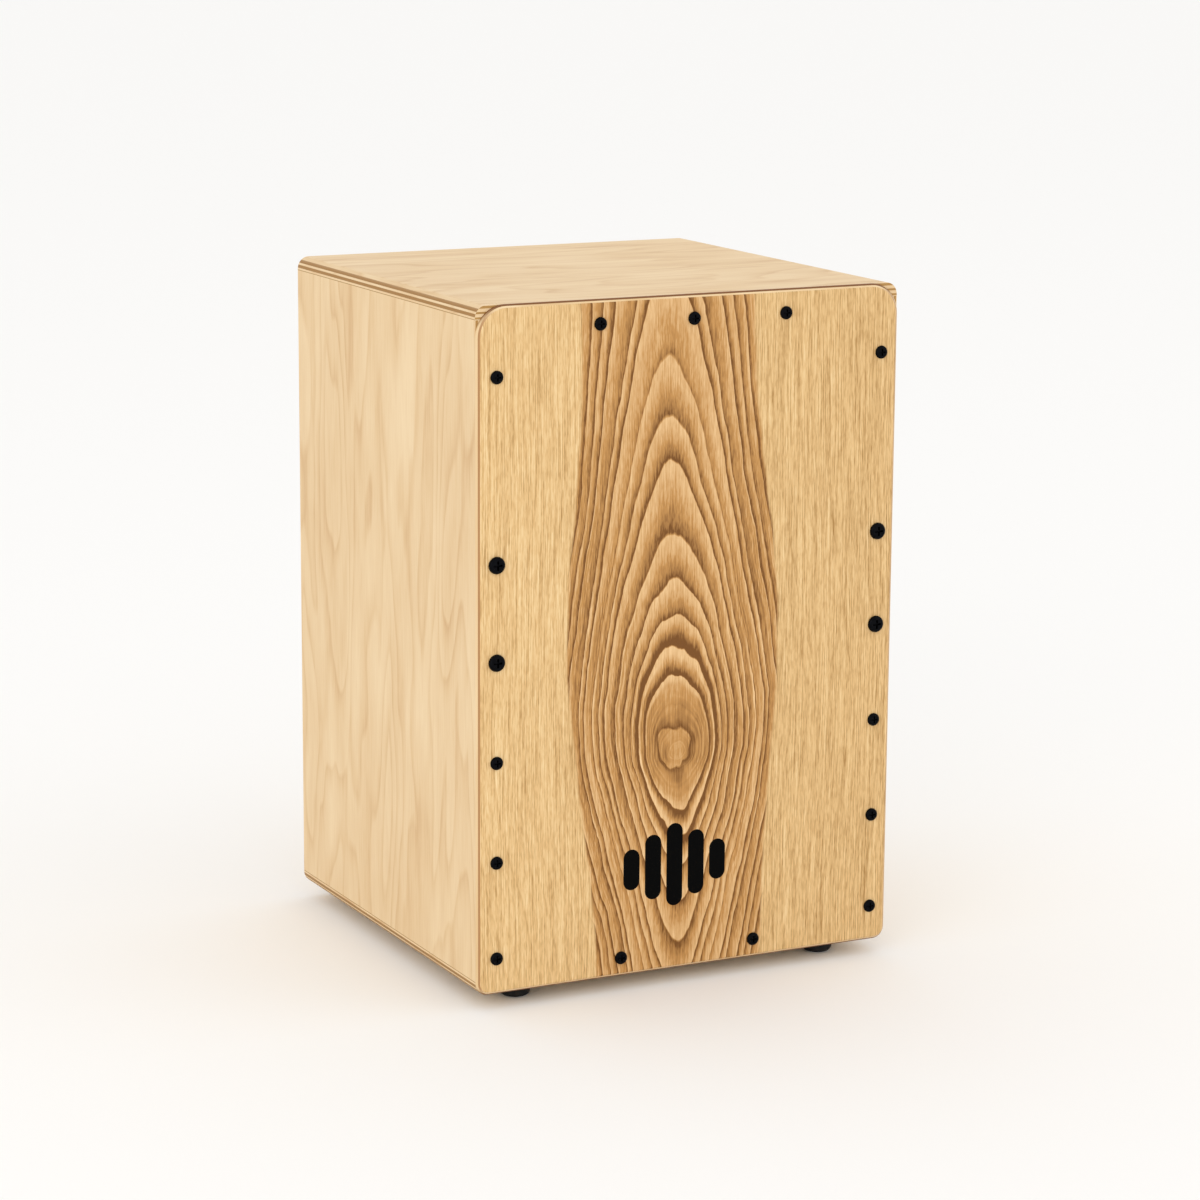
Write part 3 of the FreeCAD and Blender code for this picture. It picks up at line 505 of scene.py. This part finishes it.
    # the heartwood's shade: each layer with its weight, and a little darker far from the eye
    flecks = add(tree, "Math", early, PORES_IN_EARLY, PORES_ELSEWHERE, operation="MULTIPLY_ADD")
    away = add(tree, "Math", up, TONE_MIDDLE, operation="SUBTRACT")
    away = add(tree, "Math", away, operation="ABSOLUTE")
    away = add(tree, "MapRange", away, TONE_NEAR, TONE_FAR, 0.0, HEART_TONE)
    heart = 0.0
    for layer, weight in ((early, 0.88), (streaks, 0.42), (egg, 0.65), (fibre, 0.24), (pores, flecks),
                          (inner, 0.30), (away, 1.0)):
        heart = add(tree, "Math", layer, weight, heart, operation="MULTIPLY_ADD")
    heartwood = add(tree, "ValToRGB", add(tree, "MapRange", heart, 0.04, 1.15, 0.0, 1.0))
    heartwood.color_ramp.elements[0].color = linear(HEART_LIGHT)
    heartwood.color_ramp.elements[1].color = linear(HEART_DARK)
    heartwood.color_ramp.elements.new(0.45).color = linear(HEART_MID)

    # the sapwood's shade: straight fine lines, and a little darker towards the drum's right
    straight = add(tree, "CombineXYZ", bent, 0.0, at[Z])
    straight = add(tree, "VectorMath", straight, SAP_LINE_SIZE, operation="DIVIDE")
    straight = add(tree, "TexNoise", straight, inputs={"Scale": 1.0, "Detail": 1.0, "Roughness": 0.6})
    straight = add(tree, "MapRange", straight, 0.36, 0.64, 0.0, 1.0)
    side_tone = add(tree, "MapRange", at[X], -PLATE_HALF_WIDTH, PLATE_HALF_WIDTH,
                    SAP_TONE_LEFT, SAP_TONE_RIGHT)
    sap = 0.0
    for layer, weight in ((straight, 0.33), (pores, 0.20), (early, 0.14), (fibre, 0.31), (side_tone, 1.0)):
        sap = add(tree, "Math", layer, weight, sap, operation="MULTIPLY_ADD")
    sapwood = add(tree, "ValToRGB", sap)
    sapwood.color_ramp.elements[0].color = linear(SAP_LIGHT)
    sapwood.color_ramp.elements[1].color = linear(SAP_DARK)
    sapwood.color_ramp.elements.new(0.5).color = linear(SAP_MID)

    edge = add(tree, "Math", from_axis, half_width, operation="SUBTRACT")
    edge = add(tree, "MapRange", edge, *HEART_EDGE, 0.0, 1.0)
    leaf = add(tree, "MixRGB", edge, heartwood, sapwood)

    # the bevel cuts through the leaf, a thin cross ply and a thick pale core; where a ply's fibres
    # end in the bevel they drink the lacquer and turn brown
    plate_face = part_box("front_plate")[0][Y] / MM
    depth = add(tree, "Math", at[Y], plate_face, operation="SUBTRACT")
    depth = add(tree, "Math", depth, PLATE_THICKNESS, operation="DIVIDE")
    layers = add(tree, "ValToRGB", depth)
    layers.color_ramp.interpolation = "CONSTANT"
    layers.color_ramp.elements[0].color = (0, 0, 0, 1)
    layers.color_ramp.elements[1].position = LEAF / PLATE_THICKNESS
    layers.color_ramp.elements[1].color = (1, 1, 0, 1)
    layers.color_ramp.elements.new((LEAF + CROSS_PLY) / PLATE_THICKNESS).color = (1, 0, 0, 1)
    below_leaf, cross_ply = add(tree, "SeparateColor", layers).outputs[:2]
    peeled = add(tree, "VectorMath", place, CORE_FIGURE, operation="DIVIDE")
    peeled = add(tree, "TexNoise", peeled, inputs={"Scale": 1.0, "Detail": 5.0, "Distortion": 0.6})
    peeled = add(tree, "MapRange", peeled, 0.3, 0.7, 0.0, 1.0)
    core = add(tree, "MixRGB", peeled, linear(CORE_PALE), linear(CORE_TAN))
    leaf_or_core = add(tree, "MixRGB", below_leaf, leaf, core)
    facing = add(tree, "SeparateXYZ", normal).outputs
    end_on = add(tree, "MapRange", cross_ply, 0, 1, facing[Z], facing[X])
    end_on = add(tree, "Math", end_on, operation="ABSOLUTE")
    end_on = add(tree, "MapRange", end_on, 0.2, 0.75, 0.0, 1.0, interpolation_type="SMOOTHSTEP")
    end_on = add(tree, "Math", end_on, below_leaf, operation="MULTIPLY")
    end_grain = add(tree, "MixRGB", cross_ply, linear(CORE_END), linear(CROSS_END))
    colour = add(tree, "MixRGB", end_on, leaf_or_core, end_grain)

    grit = add(tree, "Math", pores, -0.6, fibre, operation="MULTIPLY_ADD")
    bump = add(tree, "Bump", inputs={"Strength": 0.14, "Distance": 0.1 * MM, "Height": grit})
    gloss = add(tree, "MapRange", fibre, 0.2, 0.8, 0.36, 0.48)
    lacquer = {"Base Color": colour, "Roughness": gloss, "IOR": 1.5, "Specular IOR Level": 0.35,
               "Normal": bump}
    finish_material(tree, add(tree, "BsdfPrincipled", inputs=lacquer))
    return material


fit_material("front_plate", ash_veneer())


# ---- The print on the plate -------------------------------------------------------------------------
# A plain motif of five upright bars, like a meter of loudness, screen-printed in matt black ink.
# The ink stands a few hundredths of a millimetre proud of the lacquer.

BAR_HEIGHTS = (27.0, 43.0, 55.0, 43.0, 27.0)
BAR_WIDTH, BAR_PITCH = 11.6, 15.6
PRINT_ACROSS, PRINT_HEIGHT = -10.0, 80.5
INK_THICKNESS, INK_SINK = 0.06, 0.02
ARC_STEPS = 24
INK, INK_WORN = "#030303", "#060606"


def screen_ink():
    """Screen-printing ink: matt, dense black, with the faint marks of the screen's mesh."""
    material, tree, place, _ = new_material("screen_ink")
    mesh_marks = add(tree, "TexNoise", place, inputs={"Scale": 2.5, "Detail": 2.0})
    bump = add(tree, "Bump", inputs={"Strength": 0.1, "Distance": 0.05 * MM, "Height": mesh_marks})
    gloss = add(tree, "MapRange", mesh_marks, 0.2, 0.8, 0.5, 0.65)
    tint = add(tree, "MixRGB", mesh_marks, linear(INK), linear(INK_WORN))
    ink = {"Base Color": tint, "Roughness": gloss, "IOR": 1.4, "Specular IOR Level": 0.05, "Normal": bump}
    finish_material(tree, add(tree, "BsdfPrincipled", inputs=ink))
    return material


def new_piece(name, points, faces, material, smooth=False):
    """A mesh piece in the drum's frame, from points in millimetres."""
    mesh = bpy.data.meshes.new(name)
    mesh.from_pydata([Vector(point) * MM for point in points], [], faces)
    mesh.materials.append(material)
    mesh.polygons.foreach_set("use_smooth", [smooth] * len(mesh.polygons))
    mesh.update()
    piece = bpy.data.objects.new(name, mesh)
    scene.collection.objects.link(piece)
    return piece


def bar_outline(middle, height):
    """An upright bar with round ends, seen from the front, anticlockwise."""
    radius = BAR_WIDTH / 2
    straight = height / 2 - radius
    outline = []
    for end, first_angle in ((straight, 0.0), (-straight, math.pi)):
        for step in range(ARC_STEPS):
            angle = first_angle + math.pi * step / (ARC_STEPS - 1)
            up = PRINT_HEIGHT + end + radius * math.sin(angle)
            outline.append((middle + radius * math.cos(angle), up))
    return outline


ink_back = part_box("front_plate")[0][Y] / MM + INK_SINK
ink_front = ink_back - INK_SINK - INK_THICKNESS
ink_points, ink_faces = [], []
for number, height in enumerate(BAR_HEIGHTS):
    middle = PRINT_ACROSS + (number - (len(BAR_HEIGHTS) - 1) / 2) * BAR_PITCH
    outline = bar_outline(middle, height)
    count, first = len(outline), len(ink_points)
    ink_points += [(across, ink_front, up) for across, up in outline]
    ink_points += [(across, ink_back, up) for across, up in outline]
    ink_faces.append([first + index for index in range(count)])
    ink_faces.append([first + 2 * count - 1 - index for index in range(count)])
    for index in range(count):
        after = (index + 1) % count
        ink_faces.append([first + index, first + count + index, first + count + after, first + after])
printed_bars = new_piece("printed_bars", ink_points, ink_faces, screen_ink())
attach(printed_bars, "cabinet")


# ---- The screws through the plate -------------------------------------------------------------------
# Steel pan-head screws with a cross recess. Thirteen small ones hold the plate to the strips, and four
# heavy ones clamp the cheek blocks. All are black-oxide finished.

BLACK_OXIDE, OXIDE_WORN = "#0D0D0F", "#17181B"


def worked_metal(name, colour, worn, roughness, grit):
    """A plated or blackened metal: wear shifts its colour a little, and the grit (mm) its gloss."""
    material, tree, place, _ = new_material(name)
    grain = add(tree, "TexNoise", place, inputs={"Scale": 1 / grit, "Detail": 3.0})
    patches = add(tree, "TexNoise", place, inputs={"Scale": 0.2 / grit, "Detail": 2.0})
    tint = add(tree, "MixRGB", patches, linear(colour), linear(worn))
    gloss = add(tree, "MapRange", grain, 0.2, 0.8, roughness - 0.06, roughness + 0.08)
    bump = add(tree, "Bump", inputs={"Strength": 0.1, "Distance": 0.05 * MM, "Height": grain})
    metal = {"Base Color": tint, "Metallic": 1.0, "Roughness": gloss, "Normal": bump}
    finish_material(tree, add(tree, "BsdfPrincipled", inputs=metal))
    return material


black_oxide_steel = worked_metal("black_oxide_steel", BLACK_OXIDE, OXIDE_WORN, 0.42, 0.5)
fit_material("plate_screws", black_oxide_steel)
fit_material("clamp_screws", black_oxide_steel)


# ---- The feet -----------------------------------------------------------------------------------------
# Four moulded feet of black rubber, each held by a zinc-plated screw and washer in its recess.
# They keep the bottom panel off the floor and stop the drum from sliding.

RUBBER, RUBBER_DUST = "#101011", "#232323"
ZINC, ZINC_WORN = "#C9CCD0", "#AEB4BB"


def moulded_rubber():
    """Moulded rubber: deep black and matt, finely pebbled, a little greyer where dust clings."""
    material, tree, place, _ = new_material("moulded_rubber")
    pebble = add(tree, "TexVoronoi", place, inputs={"Scale": 2.2})
    dust = add(tree, "TexNoise", place, inputs={"Scale": 0.25, "Detail": 4.0})
    dust = add(tree, "MapRange", dust, 0.5, 0.8, 0.0, 0.7)
    tint = add(tree, "MixRGB", dust, linear(RUBBER), linear(RUBBER_DUST))
    bump = add(tree, "Bump", inputs={"Strength": 0.25, "Distance": 0.1 * MM, "Height": pebble})
    rubber = {"Base Color": tint, "Roughness": 0.72, "IOR": 1.52, "Specular IOR Level": 0.3,
              "Normal": bump}
    finish_material(tree, add(tree, "BsdfPrincipled", inputs=rubber))
    return material


black_rubber = moulded_rubber()
for corner in ("front_left", "front_right", "back_left", "back_right"):
    fit_material("foot_" + corner, black_rubber)
zinc_plate = worked_metal("zinc_plate", ZINC, ZINC_WORN, 0.34, 0.6)
fit_material("foot_washers", zinc_plate)
fit_material("foot_screws", zinc_plate)


# ---- The cheek blocks and the snare rail --------------------------------------------------------------
# Beech. The two cheek blocks are clamped to the side panels from the front; the rail tilts on two
# bolts between them and presses the snare wires to the plate. Planed and oiled, never lacquered.

BEECH_LIGHT, BEECH_DARK = "#DDB88D", "#BE9264"
BEECH_FIBRE = (0.7, 24, 0.7)
BEECH_FLECK = (0.5, 3.5, 0.5)
BEECH_APART = Vector((37, 59, 23))


def oiled_beech(name, grain, seed):
    """Oiled beech: even pinkish brown, with the short dark flecks of its rays."""
    material, tree, place, normal = new_material(name)
    wood = along_grain(tree, place, grain, seed * BEECH_APART)
    fine = add(tree, "VectorMath", wood, BEECH_FIBRE, operation="DIVIDE")
    fibre = add(tree, "TexNoise", fine, inputs={"Scale": 1.0, "Detail": 3.0})
    fleck = add(tree, "VectorMath", wood, BEECH_FLECK, operation="DIVIDE")
    fleck = add(tree, "TexNoise", fleck, inputs={"Scale": 1.0, "Detail": 1.0})
    fleck = add(tree, "MapRange", fleck, 0.60, 0.70, 0.0, 1.0)
    facing = add(tree, "SeparateXYZ", normal).outputs
    end_on = add(tree, "Math", facing[grain], operation="ABSOLUTE")
    shade = 0.0
    for part, weight in ((fleck, 0.4), (fibre, 0.7), (end_on, 0.35)):
        shade = add(tree, "Math", part, weight, shade, operation="MULTIPLY_ADD")
    colour = add(tree, "MixRGB", shade, linear(BEECH_LIGHT), linear(BEECH_DARK))
    bump = add(tree, "Bump", inputs={"Strength": 0.15, "Distance": 0.1 * MM, "Height": fibre})
    oiled = {"Base Color": colour, "Roughness": 0.55, "IOR": 1.5, "Specular IOR Level": 0.35,
             "Normal": bump}
    finish_material(tree, add(tree, "BsdfPrincipled", inputs=oiled))
    return material


fit_material("cheek_block_left", oiled_beech("oiled_beech_left_cheek", Z, 1))
fit_material("cheek_block_right", oiled_beech("oiled_beech_right_cheek", Z, 2))
fit_material("snare_rail", oiled_beech("oiled_beech_rail", X, 3))


# ---- The pivot ----------------------------------------------------------------------------------------
# At each end of the rail: a zinc-plated socket-head bolt, a knurled brass insert pressed into the rail,
# and a nylon friction washer that holds the tilt where the player leaves it.

BRASS, BRASS_DULL = "#D9B56A", "#B98F45"
NYLON_WHITE, NYLON_YELLOWED = "#ECE8DC", "#DDD5C0"


def cast_nylon():
    """Nylon: waxy off-white, a little translucent, with faint turning marks."""
    material, tree, place, _ = new_material("cast_nylon")
    marks = add(tree, "TexNoise", place, inputs={"Scale": 1.2, "Detail": 3.0})
    tint = add(tree, "MixRGB", marks, linear(NYLON_WHITE), linear(NYLON_YELLOWED))
    bump = add(tree, "Bump", inputs={"Strength": 0.08, "Distance": 0.05 * MM, "Height": marks})
    nylon = {"Base Color": tint, "Roughness": 0.4, "IOR": 1.53, "Subsurface Weight": 0.15,
             "Subsurface Scale": MM, "Normal": bump}
    finish_material(tree, add(tree, "BsdfPrincipled", inputs=nylon))
    return material


turned_brass = worked_metal("turned_brass", BRASS, BRASS_DULL, 0.3, 0.5)
nylon = cast_nylon()
for hand in ("left", "right"):
    fit_material("pivot_bolt_" + hand, zinc_plate)
    fit_material("rail_insert_" + hand, turned_brass)
    fit_material("friction_washer_" + hand, nylon)


# ---- The clips ----------------------------------------------------------------------------------------
# Folded from nickel-plated strip. Each grips the lower ends of one fan of wires and is held to the
# rail by two zinc-plated screws.

NICKEL, NICKEL_WORN = "#CFC8BC", "#B7AFA2"

nickel_plate = worked_metal("nickel_plate", NICKEL, NICKEL_WORN, 0.24, 0.8)
for hand in ("left", "right"):
    fit_material("snare_clip_" + hand, nickel_plate)
fit_material("clip_screws", zinc_plate)


# ---- The snare wires ------------------------------------------------------------------------------------
# Two fans of twenty coiled spring-steel wires, which stand up from the clips and lean on the back of
# the plate. A real coil turns about once a millimetre; here it turns every two, so that each turn shows.

WIRES_PER_FAN = 20
COIL_DIAMETER, COIL_WIRE = 1.8, 0.42
COIL_TURN = 2.0
START_STEP = 2.4                  # the angle by which each coil starts further round than the last
WIRE_LEAN = math.radians(7.5)
POINTS_PER_TURN, SIDES = 10, 5
SPRING_STEEL, STEEL_DULL = "#BFC1C4", "#9A9DA3"


def coil(foot, length, turn_start):
    """Points and faces of one coiled wire, which leans towards the plate from its foot."""
    lean = Matrix.Rotation(WIRE_LEAN, 3, "X")
    path_radius = (COIL_DIAMETER - COIL_WIRE) / 2
    path_length = 2 * math.pi * path_radius
    straight = length - COIL_WIRE
    steps = int(straight / COIL_TURN * POINTS_PER_TURN)
    points, faces = [], []
    for step in range(steps + 1):
        angle = turn_start + 2 * math.pi * step / POINTS_PER_TURN
        out = Vector((math.cos(angle), math.sin(angle), 0))
        ahead = Vector((-math.sin(angle) * path_length, math.cos(angle) * path_length, COIL_TURN))
        ahead.normalize()
        beside = out.cross(ahead)
        centre = out * path_radius + Vector((0, 0, COIL_WIRE / 2 + straight * step / steps))
        for side in range(SIDES):
            around = 2 * math.pi * side / SIDES
            rim = (out * math.cos(around) + beside * math.sin(around)) * COIL_WIRE / 2
            points.append(foot + lean @ (centre + rim))
    for step in range(steps):
        for side in range(SIDES):
            here, after = step * SIDES + side, step * SIDES + (side + 1) % SIDES
            faces.append((here, here + SIDES, after + SIDES, after))
    faces.append(tuple(range(SIDES)))
    faces.append(tuple(steps * SIDES + SIDES - 1 - side for side in range(SIDES)))
    return points, faces


spring_steel = worked_metal("spring_steel", SPRING_STEEL, STEEL_DULL, 0.28, 0.6)
for hand in ("left", "right"):
    lowest, highest = (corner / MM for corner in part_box("snare_wires_" + hand))
    middle = (lowest + highest) / 2
    length = (highest.z - lowest.z - COIL_DIAMETER * math.sin(WIRE_LEAN)) / math.cos(WIRE_LEAN)
    axis = Vector((0, -math.sin(WIRE_LEAN), math.cos(WIRE_LEAN)))
    pitch = (highest.x - lowest.x - COIL_DIAMETER) / (WIRES_PER_FAN - 1)
    fan_points, fan_faces = [], []
    for number in range(WIRES_PER_FAN):
        foot = middle - axis * length / 2
        foot.x = lowest.x + COIL_DIAMETER / 2 + number * pitch
        points, faces = coil(foot, length, number * START_STEP)
        fan_faces += [tuple(len(fan_points) + corner for corner in face) for face in faces]
        fan_points += points
    wires = new_piece("coiled_wires_" + hand, fan_points, fan_faces, spring_steel, smooth=True)
    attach(wires, "snare")
    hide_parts("snare_wires_" + hand)
